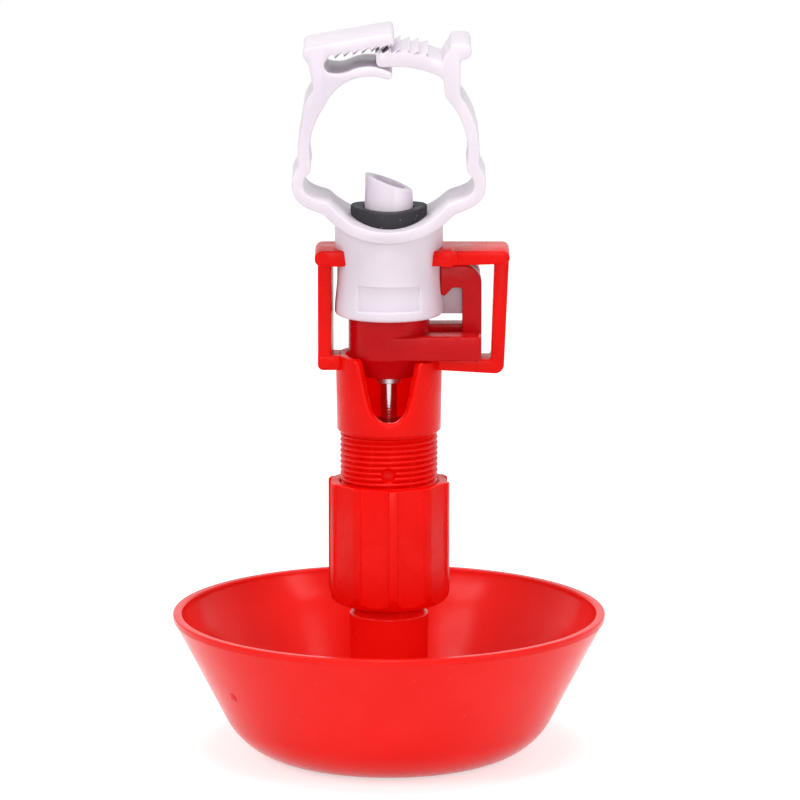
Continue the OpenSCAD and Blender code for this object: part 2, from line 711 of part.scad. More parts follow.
// Ribbed nut that carries the bowl
module adjusting_nut() color([0.89, 0.12, 0.08]) {
    step = 360 / nut_ribs;
    corner_r = nut_r / cos(step / 2);
    edge = 0.25;
    steps = 6;
    difference() {
        intersection() {
            translate([0, 0, nut_z]) linear_extrude(nut_h) {
                rotate(nut_phase + step / 2) circle(r = corner_r, $fn = nut_ribs);
                for (i = [0:nut_ribs - 1]) rotate(nut_phase + (i + 0.5) * step)
                    translate([0, -rib_w / 2]) square([corner_r + rib_rise, rib_w]);
            }
            // Rounded foot and sharp top edge
            rotate_extrude() polygon(concat([[0, nut_z]],
                [for (i = [0:steps]) let (a = -90 + 90 * i / steps)
                    [nut_r + rib_rise + 0.4 - nut_edge_r * (1 - cos(a)), nut_z + nut_edge_r * (1 + sin(a))]],
                [[corner_r + rib_rise, nut_z + nut_edge_r + 0.6], [corner_r + rib_rise, nut_top_z - edge],
                    [corner_r + rib_rise - edge, nut_top_z], [0, nut_top_z]]));
        }
        translate([0, 0, spring_z]) cylinder(r = thread_r + run_gap, h = nut_h);
        translate([0, 0, nut_z - over]) cylinder(r = stem_r + run_gap, h = nut_floor + 2 * over);
    }
}

// Spring wire: closed end turns and open turns between them
function coil_z(t) = let (closed = 1, end = wire_r * 2.12, free = spring_h - 2 * wire_r)
    wire_r + (t < closed ? end * t : t > spring_turns - closed ? free - end * (spring_turns - t)
        : end * closed + (free - 2 * end * closed) * (t - closed) / (spring_turns - 2 * closed));

// Steel spring between the nut's floor and the washer
module level_spring() color([0.72, 0.73, 0.75]) {
    per_turn = 14;
    sides = 8;
    rings = spring_turns * per_turn;
    points = [for (i = [0:rings], k = [0:sides - 1]) let (a = 360 * i / per_turn, b = 360 * k / sides,
        r = spring_r + wire_r * cos(b)) [r * cos(a), r * sin(a), coil_z(i / per_turn) + wire_r * sin(b)]];
    walls = [for (i = [0:rings - 1], k = [0:sides - 1]) let (n = (k + 1) % sides)
        [i * sides + k, (i + 1) * sides + k, (i + 1) * sides + n, i * sides + n]];
    caps = [[for (k = [0:sides - 1]) k], [for (k = [sides - 1:-1:0]) rings * sides + k]];
    translate([0, 0, spring_z]) polyhedron(points, concat(walls, caps), convexity = 10);
}

// Washer between the spring and the cap
module spring_washer() color([0.85, 0.85, 0.82]) {
    translate([0, 0, washer_z]) difference() {
        cylinder(r = washer_r, h = washer_t);
        translate([0, 0, -over]) cylinder(r = stem_r + run_gap, h = washer_t + 2 * over);
    }
}

// Cap on the column's stem that pushes the trigger pin
module column_cap() color([0.86, 0.12, 0.08]) {
    edge = 0.6;
    translate([0, 0, cap_z]) difference() {
        union() {
            cylinder(r = washer_r, h = cap_flange_t);
            cylinder(r = cap_button_r, h = cap_flange_t + cap_button_h - edge);
            translate([0, 0, cap_flange_t + cap_button_h - edge])
                cylinder(r1 = cap_button_r, r2 = cap_button_r - edge, h = edge);
        }
        translate([0, 0, -over]) cylinder(r = peg_r + rest_gap, h = peg_h + 0.4 + over);
    }
}

// Half section of the bowl's outside, from floor to rim
module bowl_outside(drop) {
    r = bowl_corner_r - drop;
    lean = atan(bowl_lean);
    wall_foot = bowl_r - rim_step - bowl_lean * (bowl_h - rim_band_h - bowl_corner_r);
    corner_x = wall_foot - bowl_corner_r / cos(lean);
    touch = [corner_x + r * cos(lean), bowl_corner_r - r * sin(lean)];
    top = bowl_h + over;
    translate([corner_x, bowl_corner_r]) circle(r);
    polygon([[0, drop], [corner_x, drop], touch, [touch[0] + (top - touch[1]) * bowl_lean, top], [0, top]]);
}

// Bright red bowl with its column and stem
module bowl() color([0.92, 0.14, 0.09]) {
    foot_r = 1.6;
    rotate_extrude() difference() {
        union() {
            intersection() {
                difference() {
                    bowl_outside(0);
                    bowl_outside(bowl_wall);
                }
                square([bowl_r - 0.001, bowl_h]);
            }
            // Upright band round the rim
            translate([bowl_r - bowl_wall, bowl_h - rim_band_h]) square([bowl_wall, rim_band_h]);
            square([column_r, bead_z + 0.2]);
            translate([0, bead_z]) square([bead_r, bead_h]);
            polygon(concat([[0, bead_z + bead_h]], [for (a = [0:15:90])
                [bead_r - 0.45 + 0.45 * cos(a), bead_z + bead_h + shoulder_h * sin(a)]], [[0, shoulder_z]]));
            square([stem_r, cap_z]);
            square([peg_r, cap_z + peg_h]);
            // Round foot of the column
            difference() {
                translate([0, bowl_wall - 0.1]) square([column_r + foot_r, foot_r + 0.1]);
                translate([column_r + foot_r, bowl_wall + foot_r]) circle(foot_r);
            }
        }
        translate([-bowl_r, -over]) square([bowl_r, 3 * bowl_h]);
    }
}

saddle_clamp();
pipe_gasket();
valve_body();
body_seal();
seat_bush();
valve_pin();
trigger_pin();
hanger();
adjusting_nut();
level_spring();
spring_washer();
column_cap();
bowl();
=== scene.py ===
# %% [markdown]
# # A hanging poultry drinker
# The drinker hangs under a water pipe. A white ring closes on the pipe, a dark red valve body feeds
# water down to a steel pin, and a bright red hanger carries a bowl on a long ribbed nut. The packed
# CAD model gives every place and size, so this script only loads it and dresses it. All lengths in
# the helpers are in millimetres, and the meshes are scaled to metres at the end.

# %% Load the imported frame
import math

import bmesh
import bpy
from mathutils import Matrix, Vector


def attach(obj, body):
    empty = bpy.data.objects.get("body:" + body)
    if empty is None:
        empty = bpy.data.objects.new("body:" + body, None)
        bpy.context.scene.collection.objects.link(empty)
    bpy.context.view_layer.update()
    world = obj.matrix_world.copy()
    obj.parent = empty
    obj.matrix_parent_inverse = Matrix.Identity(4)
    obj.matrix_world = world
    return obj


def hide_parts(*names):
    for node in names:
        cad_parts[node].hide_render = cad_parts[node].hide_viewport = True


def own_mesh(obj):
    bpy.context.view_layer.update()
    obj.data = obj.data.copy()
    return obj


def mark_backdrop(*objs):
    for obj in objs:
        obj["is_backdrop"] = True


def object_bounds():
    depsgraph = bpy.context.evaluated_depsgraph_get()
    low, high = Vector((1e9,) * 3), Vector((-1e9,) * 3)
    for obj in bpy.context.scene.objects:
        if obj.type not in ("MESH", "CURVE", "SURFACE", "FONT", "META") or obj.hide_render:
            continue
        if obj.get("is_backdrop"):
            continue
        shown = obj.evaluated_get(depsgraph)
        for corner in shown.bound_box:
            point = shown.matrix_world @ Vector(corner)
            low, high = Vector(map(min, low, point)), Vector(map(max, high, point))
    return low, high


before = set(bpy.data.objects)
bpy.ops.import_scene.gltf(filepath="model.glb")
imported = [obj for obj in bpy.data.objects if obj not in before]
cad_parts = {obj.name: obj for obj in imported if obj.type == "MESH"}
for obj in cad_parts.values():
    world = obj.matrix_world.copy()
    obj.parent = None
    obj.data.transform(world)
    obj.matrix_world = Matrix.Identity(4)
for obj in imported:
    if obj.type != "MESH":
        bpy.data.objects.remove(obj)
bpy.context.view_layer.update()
MM = 0.001

# %% [markdown]
# ## Colours and moulded plastic
# Injection moulded parts are one colour all through, yet never flat: the pigment clouds a little,
# the gloss changes where the mould was polished, and dust and tiny flecks sit on the skin. All three
# come from noise on Object coordinates, so the pattern is solid and does not slide on any view.
# Light soaks through the thin wall of the sleeve, so its inside looks a deep red. That glow is painted light:
# a little emission of that colour is painted on the inside faces and stands in for the light, which would
# take very many bounces to get there.


# %% Colour and texture helpers
def srgb(red, green, blue):
    """A colour given as 0 to 255 for each channel, as the linear values that the shader wants."""
    linear = [((c / 255 + 0.055) / 1.055) ** 2.4 if c > 10 else c / 255 / 12.92 for c in (red, green, blue)]
    return (*linear, 1.0)


def noise(tree, where, size_mm, detail=3.0):
    """Solid noise with features of about size_mm."""
    node = tree.nodes.new("ShaderNodeTexNoise")
    node.inputs["Scale"].default_value = 1 / (size_mm * MM)
    node.inputs["Detail"].default_value = detail
    tree.links.new(where, node.inputs["Vector"])
    return node.outputs["Fac"]


def spread(tree, value, low, high, out_low, out_high):
    """Maps the part of value between low and high onto out_low to out_high."""
    node = tree.nodes.new("ShaderNodeMapRange")
    node.interpolation_type = "SMOOTHSTEP"
    for socket, number in zip(("From Min", "From Max", "To Min", "To Max"), (low, high, out_low, out_high)):
        node.inputs[socket].default_value = number
    tree.links.new(value, node.inputs["Value"])
    return node.outputs["Result"]


def blend_colours(tree, share, first, second):
    """Mixes two colours, or a socket and a colour, by share."""
    node = tree.nodes.new("ShaderNodeMix")
    node.data_type = "RGBA"
    tree.links.new(share, node.inputs[0])
    for socket, colour in ((node.inputs[6], first), (node.inputs[7], second)):
        if isinstance(colour, tuple):
            socket.default_value = colour
        else:
            tree.links.new(colour, socket)
    return node.outputs[2]


def bump(tree, height, depth_mm, strength):
    node = tree.nodes.new("ShaderNodeBump")
    node.inputs["Strength"].default_value = strength
    node.inputs["Distance"].default_value = depth_mm * MM
    tree.links.new(height, node.inputs["Height"])
    return node.outputs["Normal"]


def moulded(name, colour, deep, fleck, gloss=(0.24, 0.36), glow=0.0, glow_colour=(1.0, 0.08, 0.05),
            shine=0.2):
    """Moulded plastic: clouded colour between colour and deep, uneven gloss, fine skin and pale flecks."""
    material = bpy.data.materials.new(name)
    material.use_nodes = True
    tree = material.node_tree
    shader = tree.nodes["Principled BSDF"]
    where = tree.nodes.new("ShaderNodeTexCoord").outputs["Object"]
    clouds = spread(tree, noise(tree, where, 14), 0.35, 0.65, 0.0, 1.0)
    flecks = spread(tree, noise(tree, where, 0.8, 1.0), 0.77, 0.79, 0.0, 0.25)
    skin = blend_colours(tree, flecks, blend_colours(tree, clouds, colour, deep), fleck)
    tree.links.new(skin, shader.inputs["Base Color"])
    tree.links.new(spread(tree, noise(tree, where, 3.5), 0.3, 0.7, *gloss), shader.inputs["Roughness"])
    tree.links.new(bump(tree, noise(tree, where, 5.0, 1.0), 0.008, 0.15), shader.inputs["Normal"])
    shader.inputs["IOR"].default_value = 1.49
    shader.inputs["Specular IOR Level"].default_value = shine
    shader.inputs["Subsurface Weight"].default_value = glow
    shader.inputs["Subsurface Radius"].default_value = glow_colour
    shader.inputs["Subsurface Scale"].default_value = 1.8 * MM
    return material


bright_red = moulded("bright_red_plastic", srgb(238, 14, 5), srgb(230, 8, 2), srgb(246, 60, 48), shine=0.12)
bowl_red = moulded("bowl_red_plastic", srgb(244, 24, 17), srgb(240, 19, 12), srgb(248, 84, 72),
                   (0.17, 0.24), 0.12, shine=0.16)
deep_red = moulded("dark_red_plastic", srgb(200, 10, 20), srgb(188, 6, 14), srgb(216, 56, 60), shine=0.14)
milk_white = moulded("milk_white_plastic", srgb(231, 222, 231), srgb(226, 216, 227), srgb(244, 240, 246),
                     (0.28, 0.4), 0.3, (1.0, 0.9, 1.0), 0.4)
# Painted glow: this red emits a little light of its own, standing in for light that soaks through the sleeve
# wall.
painted_glow_red = moulded("painted_glow_red_plastic", srgb(238, 10, 4), srgb(230, 6, 2), srgb(246, 40, 30))
painted_glow_shader = painted_glow_red.node_tree.nodes["Principled BSDF"]
painted_glow_shader.inputs["Emission Color"].default_value = srgb(255, 2, 1)
painted_glow_shader.inputs["Emission Strength"].default_value = 0.24
print("plastics:", [m.name for m in (bright_red, bowl_red, deep_red, milk_white, painted_glow_red)])

# %% [markdown]
# ## Steel and rubber
# The pin and its seat are turned from stainless steel, which leaves fine rings round the axis. A wave
# along Z on Object coordinates gives those rings. Rubber is dull and slightly pitted.


# %% Steel and rubber
def turned_steel(name, ring_mm, gloss=(0.12, 0.24)):
    material = bpy.data.materials.new(name)
    material.use_nodes = True
    tree = material.node_tree
    shader = tree.nodes["Principled BSDF"]
    where = tree.nodes.new("ShaderNodeTexCoord").outputs["Object"]
    rings = tree.nodes.new("ShaderNodeTexWave")
    rings.bands_direction = "Z"
    rings.inputs["Scale"].default_value = 0.31 / (ring_mm * MM)
    rings.inputs["Distortion"].default_value = 1.5
    tree.links.new(where, rings.inputs["Vector"])
    tone = blend_colours(tree, noise(tree, where, 1.2), srgb(206, 206, 210), srgb(176, 176, 182))
    tree.links.new(tone, shader.inputs["Base Color"])
    tree.links.new(spread(tree, rings.outputs["Fac"], 0.0, 1.0, *gloss), shader.inputs["Roughness"])
    tree.links.new(bump(tree, rings.outputs["Fac"], 0.01, 0.25), shader.inputs["Normal"])
    shader.inputs["Metallic"].default_value = 1.0
    return material


def rubber(name):
    material = bpy.data.materials.new(name)
    material.use_nodes = True
    tree = material.node_tree
    shader = tree.nodes["Principled BSDF"]
    where = tree.nodes.new("ShaderNodeTexCoord").outputs["Object"]
    tone = blend_colours(tree, noise(tree, where, 2.5), srgb(40, 39, 43), srgb(52, 50, 55))
    dust = spread(tree, noise(tree, where, 0.7, 1.0), 0.71, 0.75, 0.0, 0.6)
    tree.links.new(blend_colours(tree, dust, tone, srgb(140, 134, 142)), shader.inputs["Base Color"])
    tree.links.new(spread(tree, noise(tree, where, 1.5), 0.3, 0.7, 0.5, 0.68), shader.inputs["Roughness"])
    tree.links.new(bump(tree, noise(tree, where, 0.5, 4.0), 0.04, 0.6), shader.inputs["Normal"])
    shader.inputs["Specular IOR Level"].default_value = 0.25
    return material


pin_steel = turned_steel("turned_steel", 0.45)
seat_steel = turned_steel("seat_steel", 0.3, (0.4, 0.5))
spring_steel = turned_steel("spring_steel", 0.2)
black_rubber = rubber("black_rubber")
print("metal and rubber:", [m.name for m in (pin_steel, seat_steel, spring_steel, black_rubber)])

# %% [markdown]
# ## Workshop helpers
# Most of this product is either turned round the Z axis or cut from a flat outline. A lathe helper
# spins a half section, and a slab helper extrudes an outline along Y. Rounded edges catch the light
# on real mouldings, so the slab bevels its rims. Overlapping shells are joined in one mesh.


# %% Outline helpers
def arc(centre, radius, start, end, step=6.0):
    """Points on a circle from start to end, in degrees."""
    count = max(2, math.ceil(abs(end - start) / step))
    turns = [math.radians(start + (end - start) * i / count) for i in range(count + 1)]
    return [(centre[0] + radius * math.cos(a), centre[1] + radius * math.sin(a)) for a in turns]


def rounded(corners, steps=5):
    """A closed outline from (x, z, radius) corners, each with an arc in place of its point."""
    points = []
    for i, (x, z, radius) in enumerate(corners):
        here = Vector((x, z))
        back = (Vector(corners[i - 1][:2]) - here).normalized()
        ahead = (Vector(corners[(i + 1) % len(corners)][:2]) - here).normalized()
        half = math.acos(max(-1.0, min(1.0, back.dot(ahead)))) / 2
        if radius < 0.01 or half > math.radians(88):
            points.append((x, z))
            continue
        middle = here + (back + ahead).normalized() * (radius / math.sin(half))
        first, last = here + back * (radius / math.tan(half)), here + ahead * (radius / math.tan(half))
        turn = (first - middle).angle_signed(last - middle)
        for k in range(steps + 1):
            spoke = (first - middle).copy()
            spoke.rotate(Matrix.Rotation(-turn * k / steps, 2))
            points.append(tuple(middle + spoke))
    return points


# %% Mesh helpers
def new_mesh(bm):
    mesh = bpy.data.meshes.new("shape")
    bm.to_mesh(mesh)
    bm.free()
    return mesh


def join(*parts):
    """One bmesh that holds all the given ones."""
    whole = bmesh.new()
    for part in parts:
        mesh = new_mesh(part)
        whole.from_mesh(mesh)
        bpy.data.meshes.remove(mesh)
    return whole


def tidy(bm):
    bmesh.ops.remove_doubles(bm, verts=bm.verts, dist=0.002)
    bmesh.ops.recalc_face_normals(bm, faces=bm.faces)
    return bm


def lathe(section, steps=128, closed=True):
    """Spins (radius, z) points round the Z axis."""
    bm = bmesh.new()
    verts = [bm.verts.new((r, 0, z)) for r, z in section]
    pairs = list(zip(verts, verts[1:])) + ([(verts[-1], verts[0])] if closed else [])
    for a, b in pairs:
        bm.edges.new((a, b))
    bmesh.ops.spin(
        bm, geom=bm.verts[:] + bm.edges[:], cent=(0, 0, 0), axis=(0, 0, 1), angle=math.tau, steps=steps,
        use_merge=True, use_duplicate=False,
    )
    return tidy(bm)


def soften(bm, edges, width, segments=3):
    """Rounds the given edges."""
    bmesh.ops.bevel(
        bm, geom=edges, offset=width, offset_type="OFFSET", segments=segments, profile=0.5,
        affect="EDGES", material=-1, clamp_overlap=False, loop_slide=True,
    )
    return bm


def slab(outline, y_front, y_back, rim=0.25, segments=3):
    """A flat outline in XZ, given depth along Y, with its two rims rounded."""
    bm = bmesh.new()
    face = bm.faces.new([bm.verts.new((x, y_front, z)) for x, z in outline])
    grown = bmesh.ops.extrude_face_region(bm, geom=[face])["geom"]
    moved = [v for v in grown if isinstance(v, bmesh.types.BMVert)]
    bmesh.ops.translate(bm, verts=moved, vec=(0, y_back - y_front, 0))
    tidy(bm)
    if rim:
        rims = [e for e in bm.edges if abs(e.verts[0].co.y - e.verts[1].co.y) < 1e-4]
        soften(bm, rims, rim, segments)
    return bm


def carve(bm, cutter):
    """Cuts one closed bmesh out of another."""
    things = []
    for part in (bm, cutter):
        thing = bpy.data.objects.new("blank", new_mesh(part))
        bpy.context.scene.collection.objects.link(thing)
        things.append(thing)
    tool = things[0].modifiers.new("cut", "BOOLEAN")
    tool.object, tool.operation, tool.solver = things[1], "DIFFERENCE", "EXACT"
    bpy.context.view_layer.update()
    result = bmesh.new()
    result.from_mesh(things[0].evaluated_get(bpy.context.evaluated_depsgraph_get()).to_mesh())
    for thing in things:
        bpy.data.meshes.remove(thing.data)
    return result


def pipe_bar(radius, z, length, steps=128):
    """A closed cylinder along Y, for the pipe's own shape."""
    bm = bmesh.new()
    bmesh.ops.create_cone(bm, cap_ends=True, segments=steps, radius1=radius, radius2=radius, depth=length)
    bmesh.ops.rotate(bm, verts=bm.verts, cent=(0, 0, 0), matrix=Matrix.Rotation(math.radians(90), 3, "X"))
    bmesh.ops.translate(bm, verts=bm.verts, vec=(0, 0, z))
    return bm


# %% Finish helper
SHARP = math.radians(32)


def make(name, bm, material, slot, body, *nodes):
    """Turns a bmesh in millimetres into a finished piece that rides on a body and stands for its nodes."""
    bmesh.ops.scale(bm, verts=bm.verts, vec=(MM, MM, MM))
    for face in bm.faces:
        face.smooth = True
    for edge in bm.edges:
        edge.smooth = edge.calc_face_angle(0.0) < SHARP
    mesh = new_mesh(bm)
    mesh.name = name
    mesh.materials.append(material)
    piece = bpy.data.objects.new(name, mesh)
    bpy.context.scene.collection.objects.link(piece)
    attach(piece, body)
    if nodes:
        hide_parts(*nodes)
    print(name, "has", len(mesh.polygons), "faces")
    return piece


# %% [markdown]
# ## The bowl
# The bowl is one moulding with its centre column. It is a body of revolution, so one half section is
# spun. The rim has an upright band with a thin flash line under it, and the corner under the bowl is
# a wide arc. Many steps keep the rim round in close views.

# %% Bowl sizes
RIM_R, RIM_H, BAND_H, STEP = 36.0, 24.2, 1.0, 0.15
WALL, LEAN, CORNER_R = 1.5, 0.52, 12.4
COLUMN_R, BEAD_R, SHOULDER_Z = 6.45, 6.6, 25.5
slope = math.degrees(math.atan(LEAN))
corner_x = RIM_R - STEP - LEAN * (RIM_H - BAND_H - CORNER_R) - CORNER_R / math.cos(math.radians(slope))
print("corner centre at radius", round(corner_x, 2), "and a wall slope of", round(slope, 1), "degrees")

# %% Bowl section
outer = [(0.0, 0.0)] + arc((corner_x, CORNER_R), CORNER_R, -90, -slope, 4)
foot_x, foot_z = outer[-1]
outer += [(foot_x + LEAN * (z - foot_z), z) for z in (10, 13, 16, 19, RIM_H - BAND_H - 0.12)]
flash = [(RIM_R - STEP + 0.09, RIM_H - BAND_H - 0.06), (RIM_R - 0.06, RIM_H - BAND_H + 0.02)]
rim = arc((RIM_R - 0.3, RIM_H - 0.3), 0.3, 0, 90, 22)
rim += arc((RIM_R - WALL + 0.35, RIM_H - 0.35), 0.35, 90, 180, 22)
inner_r = CORNER_R - WALL
top_x = corner_x + inner_r * math.cos(math.radians(slope))
top_z = CORNER_R - inner_r * math.sin(math.radians(slope))
inner = [(RIM_R - WALL - 0.03, RIM_H - BAND_H - 0.2)]
inner += [(top_x + LEAN * (z - top_z), z) for z in (19, 16, 13, 10)]
inner += arc((corner_x, CORNER_R), inner_r, -slope, -90, 4)
column = [(COLUMN_R + 1.6, WALL)] + arc((COLUMN_R + 1.6, WALL + 1.6), 1.6, -90, -180, 15)[1:]
bead = [(COLUMN_R, 18.0), (COLUMN_R + 0.02, 20.0), (BEAD_R - 0.05, 22.0), (BEAD_R, 22.8), (BEAD_R, 23.75)]
shoulder = arc((BEAD_R - 0.45, 23.9), 0.45, 0, 60, 20) + [(5.6, 25.2), (4.9, SHOULDER_Z)]
stem = [(4.4, SHOULDER_Z), (4.4, 41.0), (2.4, 41.0), (2.4, 44.6), (0.0, 44.6)]
bowl_section = outer + flash + rim + inner + column + bead + shoulder + stem
bowl_mesh = lathe(bowl_section, 256, closed=False)
print("bowl section has", len(bowl_section), "points")

# %% [markdown]
# The mould leaves a small round gate scar on the outside of the wall. It is a low ring of plastic,
# made as a short lathed button and turned onto the slope of the wall.

# %% Gate scar on the bowl
scar_section = [(0, 0.02), (0.35, 0.05), (0.5, 0.14), (0.75, 0.12), (0.95, 0.0), (0.95, -0.3), (0, -0.3)]
scar = lathe(scar_section, 32, closed=False)
SCAR_TURN, SCAR_Z = math.radians(213.5), 13.4
wall_r = foot_x + LEAN * (SCAR_Z - foot_z)
tilt = Matrix.Rotation(SCAR_TURN, 4, "Z") @ Matrix.Rotation(math.radians(90 + slope), 4, "Y")
place = Matrix.Translation((wall_r * math.cos(SCAR_TURN), wall_r * math.sin(SCAR_TURN), SCAR_Z))
bmesh.ops.transform(scar, matrix=place @ tilt, verts=scar.verts)
make("bowl_moulding", join(bowl_mesh, scar), bowl_red, "red_plastic", "bowl", "bowl")

# %% [markdown]
# ## The adjusting nut
# Ten flats meet at ten grip ribs, and the foot is rounded. Each height has the same plan cut back by
# the foot's arc, so a lathed tube gets the plan by moving its outer points in or out. Half a degree
# between points keeps the ribs' edges crisp.

# %% Adjusting nut
NUT_Z, NUT_TOP, FLAT_R, RIBS, RIB_W, RIB_RISE, FOOT_R, PHASE = 25.8, 46.6, 9.55, 10, 1.4, 0.28, 2.6, 4.0
corner_r = FLAT_R / math.cos(math.pi / RIBS)


def nut_plan(turn):
    """Radius of the nut's plan at an angle in radians."""
    sector = math.tau / RIBS
    off = (turn - math.radians(PHASE) + sector / 2) % sector - sector / 2
    to_rib = abs(abs(off) - sector / 2)
    across = corner_r * math.sin(to_rib)
    flat = FLAT_R / math.cos(off)
    rib = (corner_r + RIB_RISE) / math.cos(min(to_rib, 0.1))
    share = min(1.0, max(0.0, (RIB_W / 2 + 0.12 - across) / 0.26))
    return flat + (rib - flat) * share * share * (3 - 2 * share)


def nut_foot(z):
    """Radius of the rounded foot at a height."""
    down = max(0.0, 1 - (z - NUT_Z) / FOOT_R)
    return FLAT_R + RIB_RISE + 0.4 - FOOT_R * (1 - math.sqrt(max(0.0, 1 - down * down)))


heights = [NUT_Z + FOOT_R * (1 - math.cos(math.radians(a))) for a in range(10, 91, 8)]
heights = [NUT_Z + 0.02] + heights + [33, 40, NUT_TOP - 0.3, NUT_TOP - 0.12, NUT_TOP]
nut_section = [(4.5, NUT_Z), (7.0, NUT_Z)] + [(9.0, z) for z in heights]
nut_section += [(8.45, NUT_TOP), (8.2, NUT_TOP - 0.25), (8.2, 27.9), (4.5, 27.9)]
nut_mesh = lathe(nut_section, 720)
for vert in nut_mesh.verts:
    if vert.co.xy.length > 8.8:
        turn = math.atan2(vert.co.y, vert.co.x)
        radius = min(nut_plan(turn), nut_foot(vert.co.z))
        radius -= 0.25 if vert.co.z > NUT_TOP - 0.05 else 0.07 if vert.co.z > NUT_TOP - 0.2 else 0.0
        vert.co.xy = vert.co.xy.normalized() * radius
make("ribbed_nut", nut_mesh, bright_red, "red_plastic", "nut", "adjusting_nut")

# %% [markdown]
# ## The threaded tube
# The thread is fine and runs the whole way round, so its crest climbs by one pitch in a turn. A
# lathed tube with many rows gets the thread by moving each outer point with its height and angle,
# which leaves the tube closed. A round dimple of the mould is then cut into the front.

# %% Threaded tube
CREST_R, DEPTH, PITCH, TUBE_Z, TUBE_TOP, TUBE_BORE = 8.1, 0.5, 0.93, 34.0, 55.3, 6.5
ROWS_A_PITCH, THREAD_END, FADE_TOP, FADE_FOOT = 13, 55.15, 0.5, 0.8
DIMPLE_R, DIMPLE = 1.28, (-0.1, -8.1, 48.9)
rows = int((TUBE_TOP - TUBE_Z) / PITCH * ROWS_A_PITCH)
tube_section = [(CREST_R, TUBE_Z + (TUBE_TOP - TUBE_Z) * i / rows) for i in range(rows + 1)]
tube_section += [(TUBE_BORE, TUBE_TOP), (TUBE_BORE, TUBE_Z)]
tube_mesh = lathe(tube_section, 112)
for vert in tube_mesh.verts:
    if vert.co.xy.length > CREST_R - 0.1:
        share = (vert.co.z / PITCH - math.atan2(vert.co.y, vert.co.x) / math.tau) % 1.0
        crest = (0.5 + 0.5 * math.cos(math.tau * share)) ** 0.5
        fade = max(0.0, min(1.0, (THREAD_END - vert.co.z) / FADE_TOP, (vert.co.z - TUBE_Z) / FADE_FOOT))
        vert.co.xy = vert.co.xy.normalized() * (CREST_R - DEPTH * (1 - crest * fade))
ball = bmesh.new()
bmesh.ops.create_uvsphere(ball, u_segments=40, v_segments=24, radius=DIMPLE_R)
bmesh.ops.translate(ball, verts=ball.verts, vec=DIMPLE)
tube_mesh = carve(tube_mesh, ball)
print("threaded tube has", rows, "rows")

# %% [markdown]
# ## The windowed sleeve
# Above the thread the hanger opens in a U shaped window, with broad rounded edges. The easiest way to
# get clean edges is to cut the wall flat, round its rims, slice it in narrow strips and roll it up.

# %% Windowed sleeve
FOOT_Z, RIM_Z, SEAT_Z, BORE_R, ROLL_R = 55.1, 68.0, 67.6, 7.15, 8.0
SLEEVE_R, SLEEVE_FLARE, SEAT_TURN, STRIPS = 8.6, 0.2, 81, 96
half = math.pi * ROLL_R


def unrolled(x, z, radius=8.75):
    """A point on the front of the sleeve, on the flat wall."""
    return ROLL_R * math.asin(x / radius), z


window = [unrolled(x, z) + (r,) for x, z, r in (
    (-5.3, RIM_Z, 1.1), (-4.0, 62.0, 2.0), (-3.1, 59.0, 2.5), (-1.3, 57.7, 2.2),
    (1.3, 57.7, 2.2), (3.1, 59.0, 2.5), (4.0, 62.0, 2.0), (5.2, SEAT_Z, 0.8))]
seat_end = ROLL_R * math.radians(SEAT_TURN)
wall = [(-half, FOOT_Z, 0), (-half, RIM_Z, 0)] + window
wall += [(seat_end, SEAT_Z, 0.2), (seat_end + 0.1, RIM_Z, 0.2), (half, RIM_Z, 0), (half, FOOT_Z, 0)]
sleeve = slab(rounded(wall, 8), 0.0, 1.0, rim=0)
ends = [f for f in sleeve.faces if abs(abs(f.calc_center_median().x) - half) < 1e-3]
bmesh.ops.delete(sleeve, geom=ends, context="FACES")
shared = [e for e in sleeve.edges if len(e.link_faces) == 2]
front = [e for e in shared if max(v.co.y for v in e.verts) < 0.01]
back = [e for e in shared if min(v.co.y for v in e.verts) > 0.99]
soften(sleeve, front, 0.38, 4)
soften(sleeve, [e for e in back if e.is_valid], 0.2, 2)
for i in range(1, STRIPS):
    at = -half + 2 * half * i / STRIPS
    bmesh.ops.bisect_plane(sleeve, geom=sleeve.verts[:] + sleeve.edges[:] + sleeve.faces[:],
                           plane_co=(at, 0, 0), plane_no=(1, 0, 0))
for vert in sleeve.verts:
    outside = SLEEVE_R + SLEEVE_FLARE * (vert.co.z - FOOT_Z) / (RIM_Z - FOOT_Z)
    radius = outside + (BORE_R - outside) * vert.co.y
    turn = vert.co.x / ROLL_R - math.pi / 2
    vert.co.x, vert.co.y = radius * math.cos(turn), radius * math.sin(turn)
tidy(sleeve)
floor_section = [(TUBE_BORE, 54.9), (8.0, 54.9), (8.0, 55.6), (7.3, 55.9), (7.2, 57.0), (TUBE_BORE, 56.0)]
sleeve_floor = lathe(floor_section)
print("sleeve has", len(sleeve.faces), "faces")

# %% [markdown]
# ## The hanger's frames
# Two frames stand on the sleeve and grip the white socket between their jaws. Each bar is a slab
# with rounded corners, and its end is let into the wall that it meets, so no gap shows.

# %% Left frame
JAW_Z, JAW_TOP, JAW_HALF, BAR_HALF = 83.3, 85.9, 5.0, 3.0
STRUT_Z, STRUT_H = 66.3, 18.4
bar_corners = [(-11.75, 65.6, 0.9), (-11.75, 68, 0.3), (-8.0, 68, 0), (-8.0, 65.6, 0)]
left_bar = slab(rounded(bar_corners), -BAR_HALF, BAR_HALF)
strut = bmesh.new()
plan = [(-11.72, -2.97), (-9.55, -2.97), (-9.15, 2.97), (-11.72, 2.97)]
face = strut.faces.new([strut.verts.new((x, y, STRUT_Z)) for x, y in plan])
grown = bmesh.ops.extrude_face_region(strut, geom=[face])["geom"]
raised = [v for v in grown if isinstance(v, bmesh.types.BMVert)]
bmesh.ops.translate(strut, verts=raised, vec=(0, 0, STRUT_H))
tidy(strut)
soften(strut, [e for e in strut.edges if abs(e.verts[0].co.z - e.verts[1].co.z) > 5], 0.25)
jaw_corners = [(-12.2, JAW_Z, 1.2), (-12.2, JAW_TOP, 1.2), (-6.9, JAW_TOP, 0.7), (-6.9, JAW_Z, 0.7)]
left_jaw = slab(rounded(jaw_corners, 6), -JAW_HALF, JAW_HALF)
